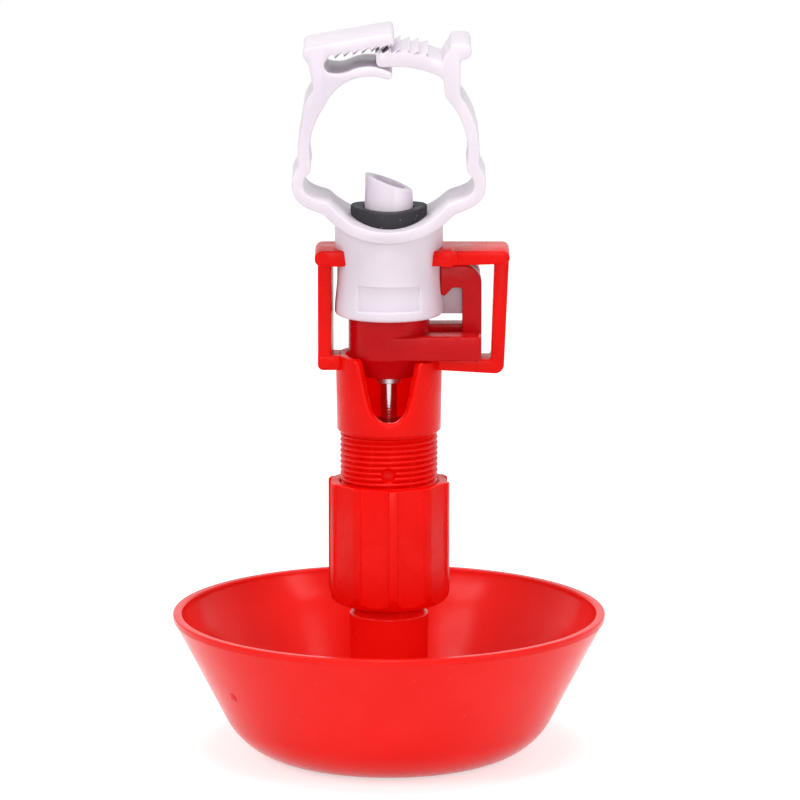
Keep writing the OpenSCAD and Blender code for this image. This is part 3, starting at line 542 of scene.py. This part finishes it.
print("left frame:", len(left_bar.faces) + len(strut.faces) + len(left_jaw.faces), "faces")

# %% Right frame
right_loop = [(7.0, 83.3, 0), (17.4, 83.65, 0.5), (16.85, 67.4, 0.5), (7.9, 67.4, 0), (7.9, 65.6, 0),
              (18.95, 64.95, 1.5), (19.86, 85.8, 1.35), (7.0, 85.8, 0)]
right_frame = slab(rounded(right_loop, 7), -BAR_HALF, BAR_HALF)
plate_corners = [(7.0, 83.35, 0), (19.0, 83.75, 0.3), (19.88, 84.4, 0.3), (19.9, 85.9, 1.1), (7.0, 85.9, 0)]
plate = slab(rounded(plate_corners, 6), -JAW_HALF, JAW_HALF)
BUTTON_X, BUTTON_Z, BUTTON_HALF, BUTTON_RISE, BUTTON_FRONT = 9.55, 84.8, 1.98, 1.5, -5.9
turns = [math.radians(22.5 + 45 * k) for k in range(8)]
corners = [(BUTTON_X + BUTTON_HALF * math.cos(a), BUTTON_Z + BUTTON_RISE * math.sin(a)) for a in turns]
button = slab(corners, BUTTON_FRONT, 0, 0.22, 2)
print("right frame:", len(right_frame.faces) + len(plate.faces) + len(button.faces), "faces")

# %% [markdown]
# Ejector pins leave round witness marks on the ends of the bars. Each is a very low disc.


# %% Ejector marks and the whole hanger
def ejector_mark(x, z, y_front, radius):
    """A low round disc that stands on a face towards the front."""
    disc = lathe([(0, 0.0), (radius, 0.0), (radius, 0.1), (radius - 0.06, 0.14), (0, 0.14)], 32, closed=False)
    place = Matrix.Translation((x, y_front, z)) @ Matrix.Rotation(math.radians(90), 4, "X")
    bmesh.ops.transform(disc, matrix=place, verts=disc.verts)
    return disc


marks = [ejector_mark(-10.95, 84.6, -4.98, 1.05), ejector_mark(-10.6, 66.8, -2.98, 0.9)]
hanger_parts = [tube_mesh, sleeve, sleeve_floor, left_bar, strut, left_jaw, right_frame, plate, button]
hanger_parts += marks
hanger = make("hanger_moulding", join(*hanger_parts), bright_red, "red_plastic", "valve_and_hanger", "hanger")
# The faces inside the sleeve get the red with the painted glow.
hanger.data.materials.append(painted_glow_red)
PAINTED_GLOW_R, PAINTED_GLOW_Z = BORE_R + 0.35, FOOT_Z + 0.4
painted_glow_faces = [face for face in hanger.data.polygons
             if face.center.xy.length < PAINTED_GLOW_R * MM and PAINTED_GLOW_Z * MM < face.center.z < SEAT_Z * MM]
for face in painted_glow_faces:
    face.material_index = 1
print("faces inside the sleeve:", len(painted_glow_faces))

# %% [markdown]
# ## The valve body
# The dark red body is turned: a cylinder with a seal groove above and a cone below. Its locking arm
# starts level with the front of the body, turns up behind the frame and ends in a hook.

# %% Turned part of the valve body
VALVE_R, CONE_Z, NOSE_Z, MOUTH_Z, BODY_TOP = 6.7, 67.84, 64.34, 74.62, 87.42
body_section = [(3.0, NOSE_Z), (4.2, NOSE_Z)] + arc((4.25, NOSE_Z + 0.3), 0.3, -80, -10, 20)
body_section += [(VALVE_R, CONE_Z), (VALVE_R, MOUTH_Z + 7.55), (5.0, MOUTH_Z + 7.6), (5.0, MOUTH_Z + 9.4)]
body_section += [(VALVE_R, MOUTH_Z + 9.45), (VALVE_R, BODY_TOP - 0.22), (VALVE_R - 0.2, BODY_TOP)]
body_section += [(2.0, BODY_TOP), (2.0, 77.24), (3.0, 77.24)]
valve_turned = lathe(body_section, 128)
print("valve body section has", len(body_section), "points")

# %% Locking arm
ARM_Z, ARM_TOP, REACH, RISER_X = 67.72, 71.82, 15.3, 12.1
foot_plan = [(0.6, VALVE_R, 0), (-1.5, 6.5, 0), (-1.5, 3.1, 0), (3.2, 1.5, 0)]
foot_plan += [(REACH - 0.1, 1.5, 0.4), (REACH - 0.1, VALVE_R, 0.5)]
foot = slab(rounded(foot_plan), ARM_Z, ARM_TOP, 0.4, 4)
bmesh.ops.rotate(foot, verts=foot.verts, cent=(0, 0, 0), matrix=Matrix.Rotation(math.radians(90), 3, "X"))
hook_outline = [(RISER_X, ARM_Z + 0.5, 0), (REACH, ARM_Z + 0.5, 0), (REACH, 82.94, 3.0), (8.45, 82.94, 0.1),
                (8.45, 78.2, 0.1), (9.2, 77.84, 0.3), (10.5, 79.24, 0.15), (RISER_X, 79.24, 0.5)]
hook = slab(rounded(hook_outline, 8), -1.8, 1.8, 0.2, 3)
web_outline = [(3.6, 71.12, 0), (REACH - 0.2, 71.12, 0.2), (REACH - 0.2, 72.62, 0.2), (3.6, 72.62, 0)]
web = slab(rounded(web_outline), 0.9, 4.8, 0.15)
valve_mesh = join(valve_turned, foot, hook, web)
make("valve_moulding", valve_mesh, deep_red, "dark_red_plastic", "valve_and_hanger", "valve_body")

# %% [markdown]
# ## The white ring
# The ring, the socket and the spigot are one milky moulding. The ring's outline is built from the
# circles that its maker would draw: the bore, the band outside it, a lobe at each side and the curved
# tongue and finger of the latch. The corners between them are then relaxed, as in a real mould.

# %% Ring outline
AXIS_Z, BORE, BAND = 102.72, 13.0, 14.9
NEAR, FAR, LOBE_IN, LOBE_OUT = (10.3, -6.0), (11.8, -5.4), 2.3, 4.2


def lobe(sign, radius, near_turn, far_turn, ring_turns, ring_r):
    """From the floor of the ring up and round one lobe, on the right if sign is 1."""
    points = arc(NEAR, radius, near_turn, -68.2, 9) + arc(FAR, radius, -68.2, far_turn, 9)
    points += arc((0, 0), ring_r, *ring_turns, 3)
    return [(sign * x, z) for x, z in points]


TONGUE, UNDER_R, TOP_R, TONGUE_NOSE_X, POST_X = (1.0, -3.2), 17.4, 19.7, -2.1, 9.1
FIRST_TOOTH_TURN, FIRST_TOOTH_AHEAD = 96.27, 4.9
TOOTH_PITCH, TOOTH_H, JAW_END, JAW_SLOPE, JAW_LEN, JAW_T = 1.5, 0.7, (-14.1, 17.1), 10.0, 14.9, 1.8


def on_circle(centre, radius, turn):
    """A point of a circle, with the turn in degrees."""
    angle = math.radians(turn)
    return centre[0] + radius * math.cos(angle), centre[1] + radius * math.sin(angle)


def on_jaw(ahead, up):
    """A point of the sloping left jaw, from its outer end."""
    lean = math.radians(JAW_SLOPE)
    return (JAW_END[0] + ahead * math.cos(lean) - up * math.sin(lean),
            JAW_END[1] + ahead * math.sin(lean) + up * math.cos(lean))


def relax(points, passes=4, spacing=0.33):
    """Spaces a line of points evenly and rounds its corners. Its two ends stay."""
    line = [Vector(p) for p in points]
    even, left = [line[0]], spacing
    for a, b in zip(line, line[1:]):
        length = (b - a).length
        while left <= length:
            even.append(a.lerp(b, left / length))
            left += spacing
        left -= length
    even.append(line[-1])
    for _ in range(passes):
        even = [even[0]] + [(a + 2 * b + c) / 4 for a, b, c in zip(even, even[1:], even[2:])] + [even[-1]]
    return [tuple(p) for p in even]


post_corners = [(11.7, 15.3, 0), (13.6, 15.4, 1.0), (13.5, 18.0, 1.0), (9.1, 18.0, 0.6)]
right_post = [(11.7, 15.3)] + rounded(post_corners)[1:]
left_post = [(-14.1, 15.8), (-13.1, 14.7), (-12.3, 10.4), (-13.8, 7.9)]
outside = [on_jaw(JAW_LEN, -JAW_T), on_jaw(JAW_LEN, 0), on_jaw(0.5, 0), (-14.1, 16.7)] + left_post
outside += lobe(-1, LOBE_OUT, -81.8, 46.1, (-9.16, 15.0), BAND)[::-1]
outside += arc((0, 0), BAND, -137.04, -42.96, 3)
outside += lobe(1, LOBE_OUT, -81.8, 46.1, (-9.16, 38.3), BAND) + right_post
outside += [(POST_X, 16.0), on_circle(TONGUE, TOP_R, 67.0)]

tongue_teeth = []
tongue_tooth = ((-0.2, 0.0), (0.0, TOOTH_H - 0.08), (0.3, TOOTH_H), (0.6, TOOTH_H - 0.08), (3.1, 0.05))
for i in range(5, -1, -1):
    foot_turn = FIRST_TOOTH_TURN - math.degrees(i * TOOTH_PITCH / TOP_R)
    for turn, rise in tongue_tooth:
        tongue_teeth.append(on_circle(TONGUE, TOP_R + rise, foot_turn + turn))
nose = [(TONGUE_NOSE_X, 16.0), (TONGUE_NOSE_X, 14.4), (-1.9, 14.13)]
under = [on_circle(TONGUE, UNDER_R, 99.0 - 3 * i) for i in range(12)]
inside = nose + under + [(POST_X, 12.0)] + lobe(1, LOBE_IN, -97.0, 69.9, (-14.43, 45.6), BORE)[::-1]
inside += arc((0, 0), BORE, -39.56, -140.44, 3) + lobe(-1, LOBE_IN, -97.0, 69.9, (-14.43, 36.4), BORE)
inside += arc((-3.16, 4.7), 7.9, 156, 66.6) + arc((-0.1, 12.7), 0.85, -80, 60, 20)
inside += arc((-3.3, 7.2), 7.0, 61, 124) + arc((-9.4, 14.3), 1.3, -80, -250, 15) + [on_jaw(4.2, -JAW_T)]
jaw_teeth = []
jaw_tooth = ((0.0, 0.0), (0.02, TOOTH_H - 0.06), (0.1, TOOTH_H), (0.2, TOOTH_H - 0.08), (1.25, 0.04))
for i in range(7):
    start = FIRST_TOOTH_AHEAD + i * TOOTH_PITCH
    for ahead, drop in jaw_tooth:
        if start + ahead < JAW_LEN - 0.1:
            jaw_teeth.append(on_jaw(start + ahead, -JAW_T - drop))
ring_outline = relax(outside) + tongue_teeth + relax(inside, 7) + jaw_teeth
print("ring outline has", len(ring_outline), "points")

# %% [markdown]
# The ring is cut to one depth and then its saddle is drawn out along the pipe. Cuts across the saddle
# come first, so that its flat sides can bend there.

# %% Ring
RING_HALF, SADDLE_HALF, SADDLE_TOP, SADDLE_X, SADDLE_BEND = 7.6, 9.4, AXIS_Z - 5.4, 11.2, 5.2
CUTS = (-11.2, -9.9, -8.6, -7.3, -6.0, -3.0, 0.0, 3.0, 6.0, 7.3, 8.6, 9.9, 11.2)
ring = slab([(x, z + AXIS_Z) for x, z in ring_outline], -RING_HALF, RING_HALF, 0.24, 3)
for at in CUTS:
    low = [f for f in ring.faces if f.calc_center_median().z < AXIS_Z + 4]
    geom = list({v for f in low for v in f.verts} | {e for f in low for e in f.edges}) + low
    bmesh.ops.bisect_plane(ring, geom=geom, plane_co=(at, 0, 0), plane_no=(1, 0, 0))
for vert in ring.verts:
    if vert.co.z < SADDLE_TOP:
        share = min(1.0, max(0.0, (SADDLE_X - abs(vert.co.x)) / SADDLE_BEND))
        flare = (SADDLE_HALF - RING_HALF) * share * share * (3 - 2 * share)
        vert.co.y += math.copysign(flare, vert.co.y)
print("ring has", len(ring.faces), "faces")

# %% [markdown]
# ## The socket
# The socket is turned with a shallow waist. Its front has a shallow panel, made by pushing in the
# points of a fine lathed wall, so its edges stay slightly soft as in the moulding.

# %% Socket with its panel
SOCKET_R, WAIST, SOCKET_BORE, SOCKET_H = 8.95, 0.42, 6.85, 15.1
FLOOR_Z = MOUTH_Z + SOCKET_H
PANEL_LOW, PANEL_HIGH, PANEL_HALF, PANEL_R = 76.22, 80.42, 5.2, 8.15
SPIGOT_BORE, SOCKET_CEILING, UNDER_BAND_R, CUT_LENGTH = 2.65, 87.82, 13.6, 24.0


def waist_r(z):
    """Radius of the socket's outside at a height."""
    share = min(1.0, max(0.0, (z - MOUTH_Z - 0.6) / (SOCKET_H * 0.8)))
    return SOCKET_R - WAIST * math.sin(math.pi * share) ** 2


wall_heights = [MOUTH_Z + 0.6 + i * 0.5 for i in range(30)]
EDGE_ROWS = (-0.14, -0.07, 0.0, 0.07, 0.14, 0.22)
wall_heights += [edge + off for edge in (PANEL_LOW, PANEL_HIGH) for off in EDGE_ROWS]
socket_section = [(SOCKET_BORE, MOUTH_Z), (SOCKET_R - 0.6, MOUTH_Z)]
socket_section += arc((SOCKET_R - 0.6, MOUTH_Z + 0.6), 0.6, -75, -15, 20)
socket_section += [(waist_r(z), z) for z in sorted(wall_heights) if z < FLOOR_Z + 1.0]
socket_section += [(waist_r(FLOOR_Z + 2.2), FLOOR_Z + 2.2), (SPIGOT_BORE, FLOOR_Z + 2.2)]
socket_section += [(SPIGOT_BORE, SOCKET_CEILING), (SOCKET_BORE, SOCKET_CEILING)]
socket = lathe(socket_section, 540)
for vert in socket.verts:
    if vert.co.y < 0 and vert.co.xy.length > 8.3:
        edge = min(PANEL_HALF - abs(vert.co.x), vert.co.z - PANEL_LOW, PANEL_HIGH - vert.co.z)
        share = min(1.0, max(0.0, edge / 0.15 + 0.5))
        radius = vert.co.xy.length
        vert.co.xy = vert.co.xy * (1 + (PANEL_R / radius - 1) * share * share * (3 - 2 * share))
socket = carve(socket, pipe_bar(UNDER_BAND_R, AXIS_Z, CUT_LENGTH))
print("socket has", len(socket.faces), "faces")

# %% [markdown]
# The spigot pierces the pipe. It is a tapered tube whose end is cut on a slant, so the points of its
# upper rim are lowered towards the right. The lug beside the socket is a plain rounded slab.

# %% Spigot and lug
SPIGOT_TOP, SLANT = FLOOR_Z + 7.0, math.radians(20.5)
spigot_section = [(4.12, FLOOR_Z - 0.6), (4.08, FLOOR_Z + 0.2), (3.9, SPIGOT_TOP - 0.12)]
spigot_section += [(3.84, SPIGOT_TOP - 0.03), (3.72, SPIGOT_TOP), (2.8, SPIGOT_TOP)]
spigot_section += [(2.68, SPIGOT_TOP - 0.05), (SPIGOT_BORE, SPIGOT_TOP - 0.15), (SPIGOT_BORE, FLOOR_Z - 0.6)]
spigot = lathe(spigot_section, 96)
for vert in spigot.verts:
    if vert.co.z > SPIGOT_TOP - 0.5:
        vert.co.z -= vert.co.x * math.tan(SLANT)
lug_outline = [(8.6, 74.22, 0.2), (15.1, 74.22, 0.3), (15.1, 82.82, 2.0)]
lug_outline += [(7.0, 82.82, 0), (7.0, 75.0, 0), (8.6, 75.0, 0)]
lug = slab(rounded(lug_outline, 8), 1.92, 5.52, 0.2)
clamp_mesh = join(ring, socket, spigot, lug)
make("ring_and_socket", clamp_mesh, milk_white, "white_plastic", "valve_and_hanger", "saddle_clamp")

# %% [markdown]
# ## Gasket and seal
# The gasket is a rubber collar between the ring and the pipe. Its foot bends with the ring's floor
# and its top is hollowed for the pipe, so a lathed collar gets both by shifting its points in height.

# %% Rubber pieces
GASKET_R, GASKET_H, DIP = 6.3, 3.3, 0.6
gasket_section = [(4.14, 0.0), (6.2, 0.0), (GASKET_R, 0.1), (GASKET_R, 0.5), (GASKET_R, 0.82)]
gasket_section += [(6.22, 0.93), (6.02, 1.0), (4.5, 1.0), (4.25, 0.96), (4.14, 0.88)]
gasket = lathe(gasket_section, 128)
for vert in gasket.verts:
    low = AXIS_Z - math.sqrt(12.96 ** 2 - vert.co.x ** 2)
    high = FLOOR_Z + GASKET_H - DIP + vert.co.x ** 2 * DIP / GASKET_R ** 2
    vert.co.z = low + (high - low) * vert.co.z
make("pipe_collar", gasket, black_rubber, "black_rubber", "valve_and_hanger", "pipe_gasket")
SEAL_Z = MOUTH_Z + 8.5
seal_mesh = lathe(arc((5.935, SEAL_Z), 0.885, 0, 340, 20), 96)
make("seal_ring", seal_mesh, black_rubber, "black_rubber", "valve_and_hanger", "body_seal")

# %% [markdown]
# ## Steel pieces
# The pin ends in a ball that rests in the seat, and a second pin above it closes the water way. All
# three are turned parts with a small bevel on each edge, and the tip of the trigger pin is domed.

# %% Steel pieces
SEAT_LOW, BALL_Z, BALL_R, PIN_R, PIN_TIP = 63.09, 67.573, 2.1, 1.35, 50.3
seat = [(1.7, 63.15), (1.76, SEAT_LOW), (1.88, SEAT_LOW), (1.95, 63.16), (1.95, 64.64), (2.9, 64.64)]
seat += [(3.0, 64.74), (3.0, 66.19), (2.9, 66.29), (1.76, 66.29), (1.7, 66.22)]
make("steel_seat", lathe(seat, 96), seat_steel, "steel", "valve_and_hanger", "seat_bush")
neck = math.degrees(math.asin(PIN_R / BALL_R))
trigger = [(0.0, PIN_TIP)] + arc((PIN_R - 0.6, PIN_TIP + 0.6), 0.6, -80, 0, 10) + [(PIN_R, 56), (PIN_R, 61)]
trigger += arc((0, BALL_Z), BALL_R, -90 + neck, 88, 6) + [(0.0, BALL_Z + BALL_R)]
make("trigger", lathe(trigger, 96, closed=False), pin_steel, "steel", "trigger", "trigger_pin")
PLUG_Z = BALL_Z + BALL_R + 0.03
plug = [(0, PLUG_Z), (2.5, PLUG_Z), (2.6, PLUG_Z + 0.1)]
plug += [(2.6, PLUG_Z + 5.7), (2.1, PLUG_Z + 6.2), (0, PLUG_Z + 6.2)]
make("closing_pin", lathe(plug, 96, closed=False), pin_steel, "steel", "valve_pin", "valve_pin")

# %% [markdown]
# ## Cap, washer and spring
# They sit inside the threaded tube. The cap and the washer are turned plastic. The coil is a small
# circle spun round the axis as it climbs, with its first and last turn closed up. It gets shorter as
# the bowl sinks.

# %% Inner pieces
WASHER_Z, CAP_Z = 40.2, 41.0
cap = [(2.43, CAP_Z), (5.9, CAP_Z), (6.0, CAP_Z + 0.1), (6.0, CAP_Z + 1.3), (5.9, CAP_Z + 1.4)]
cap += [(3.7, CAP_Z + 1.4), (3.6, CAP_Z + 1.5), (3.6, CAP_Z + 5.4), (3.4, CAP_Z + 5.75)]
cap += [(3.0, CAP_Z + 6.0), (0, CAP_Z + 6.0), (0, CAP_Z + 4.0), (2.43, CAP_Z + 4.0)]
make("push_cap", lathe(cap, 96), bowl_red, "red_plastic", "bowl", "column_cap")
washer = [(4.5, WASHER_Z), (5.9, WASHER_Z), (6.0, WASHER_Z + 0.1)]
washer += [(6.0, WASHER_Z + 0.67), (5.9, WASHER_Z + 0.77), (4.5, WASHER_Z + 0.77)]
make("slip_washer", lathe(washer, 96), milk_white, "white_plastic", "washer", "spring_washer")

# %% Coil spring
COIL_Z, COIL_H, COIL_R, WIRE_R, TURNS, TURN_STEPS, CLIMB = 27.9, 12.3, 5.4, 0.4, 6.5, 64, 4.0
coil = bmesh.new()
upright = Matrix.Translation((COIL_R, 0, 0)) @ Matrix.Rotation(math.radians(90), 4, "X")
bmesh.ops.create_circle(coil, segments=16, radius=WIRE_R, matrix=upright)
bmesh.ops.spin(
    coil, geom=coil.verts[:] + coil.edges[:], cent=(0, 0, 0), axis=(0, 0, 1), angle=math.tau * TURNS,
    steps=int(TURNS * TURN_STEPS), dvec=(0, 0, CLIMB / TURN_STEPS), use_duplicate=False,
)
bmesh.ops.holes_fill(coil, edges=coil.edges, sides=0)
tidy(coil)


def coil_height(turns):
    """Height of the wire's middle above the coil's foot, after some turns."""
    closed, free = WIRE_R * 2.12, COIL_H - 2 * WIRE_R
    if turns < 1:
        return WIRE_R + closed * turns
    if turns > TURNS - 1:
        return WIRE_R + free - closed * (TURNS - turns)
    return WIRE_R + closed + (free - 2 * closed) * (turns - 1) / (TURNS - 2)


for vert in coil.verts:
    part = math.atan2(vert.co.y, vert.co.x) / math.tau
    turns = part + round(vert.co.z / CLIMB - part)
    vert.co.z = COIL_Z + coil_height(turns) + vert.co.z - CLIMB * turns
spring = make("level_coil", coil, spring_steel, "steel", "spring", "level_spring")
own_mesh(spring)

# %% [markdown]
# ## Floor and light
# The photograph is a studio shot on white. A wide pale floor takes the shadow of the bowl. One soft
# lamp stands in front, one at the upper left and a weaker one on the right. A long one above picks
# out the rims and lights the bowl's inside. The world is white to the camera and in reflections, and
# dimmer as a light.


# %% White surround
def seen_directly(tree):
    """1 for rays that show the surround itself, in the view, in a reflection or through a clear part."""
    rays = tree.nodes.new("ShaderNodeLightPath")
    first, both = tree.nodes.new("ShaderNodeMath"), tree.nodes.new("ShaderNodeMath")
    first.operation = both.operation = "MAXIMUM"
    tree.links.new(rays.outputs["Is Camera Ray"], first.inputs[0])
    tree.links.new(rays.outputs["Is Glossy Ray"], first.inputs[1])
    tree.links.new(first.outputs[0], both.inputs[0])
    tree.links.new(rays.outputs["Is Transmission Ray"], both.inputs[1])
    return both.outputs[0]


bm = bmesh.new()
bmesh.ops.create_grid(bm, x_segments=8, y_segments=8, size=0.6)
floor = bpy.data.objects.new("floor", new_mesh(bm))
floor.location.z = -0.00005
bpy.context.scene.collection.objects.link(floor)
paper = bpy.data.materials.new("white_paper")
paper.use_nodes = True
tree = paper.node_tree
shader = tree.nodes["Principled BSDF"]
shader.inputs["Base Color"].default_value = srgb(242, 242, 242)
shader.inputs["Roughness"].default_value = 0.9
shader.inputs["Specular IOR Level"].default_value = 0.0
shader.inputs["Emission Color"].default_value = (1.0, 1.0, 1.0, 1.0)
tree.links.new(spread(tree, seen_directly(tree), 0.0, 1.0, 0.0, 0.6), shader.inputs["Emission Strength"])
floor.data.materials.append(paper)

world = bpy.data.worlds.new("studio")
bpy.context.scene.world = world
world.use_nodes = True
tree = world.node_tree
sky = tree.nodes["Background"]
sky.inputs["Color"].default_value = (1.0, 1.0, 1.0, 1.0)
tree.links.new(spread(tree, seen_directly(tree), 0.0, 1.0, 0.4, 1.0), sky.inputs["Strength"])
print("surround is white, with a floor of", round(floor.dimensions.x, 2), "m")


# %% Lamps
def soft_lamp(name, place_mm, aim_mm, size_mm, watts):
    """An area lamp at a place, turned to a target."""
    data = bpy.data.lights.new(name, "AREA")
    data.shape, data.size, data.size_y, data.energy = "RECTANGLE", size_mm[0] * MM, size_mm[1] * MM, watts
    lamp = bpy.data.objects.new(name, data)
    lamp.location = Vector(place_mm) * MM
    lamp.rotation_euler = (Vector(aim_mm) - Vector(place_mm)).to_track_quat("-Z", "Y").to_euler()
    bpy.context.scene.collection.objects.link(lamp)
    return lamp


lamps = [
    soft_lamp("key_lamp", (-520, -460, 460), (0, 0, 60), (300, 300), 1.3),
    soft_lamp("front_lamp", (40, -1050, 260), (0, 0, 60), (220, 300), 1.9),
    soft_lamp("side_lamp", (560, -380, 300), (0, 0, 60), (160, 420), 0.8),
    soft_lamp("top_lamp", (0, -160, 700), (0, 0, 40), (460, 200), 2.5),
]
print("lamps:", [lamp.name for lamp in lamps])

# %% [markdown]
# ## Camera
# The photograph was taken from far away, a little above the object. The camera stands 1.2 m off and
# looks down by about 11 degrees, so the bowl's rim shows as a thin ellipse.

# %% Camera
DISTANCE, LOOK_DOWN = 1200.0, math.radians(11.17)
ahead = Vector((0, math.cos(LOOK_DOWN), -math.sin(LOOK_DOWN)))
above = Vector((0, math.sin(LOOK_DOWN), math.cos(LOOK_DOWN)))
lens = bpy.data.cameras.new("camera")
lens.lens, lens.sensor_width, lens.clip_start, lens.clip_end = 324.0, 36.0, 0.1, 20.0
camera = bpy.data.objects.new("camera", lens)
camera.location = (Vector((1.833, 0, RIM_H)) + above * 35.15 - ahead * DISTANCE) * MM
camera.rotation_euler = (math.pi / 2 - LOOK_DOWN, 0, 0)
bpy.context.scene.collection.objects.link(camera)
bpy.context.scene.camera = camera
bpy.context.scene.view_settings.view_transform = "Standard"
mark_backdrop(floor, *lamps, camera)
print("camera at", [round(v, 3) for v in camera.location])

# %% Sizes and finish
bpy.context.view_layer.update()
low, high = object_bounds()
print("visual box in mm:", [round((b - a) / MM, 1) for a, b in zip(low, high)])
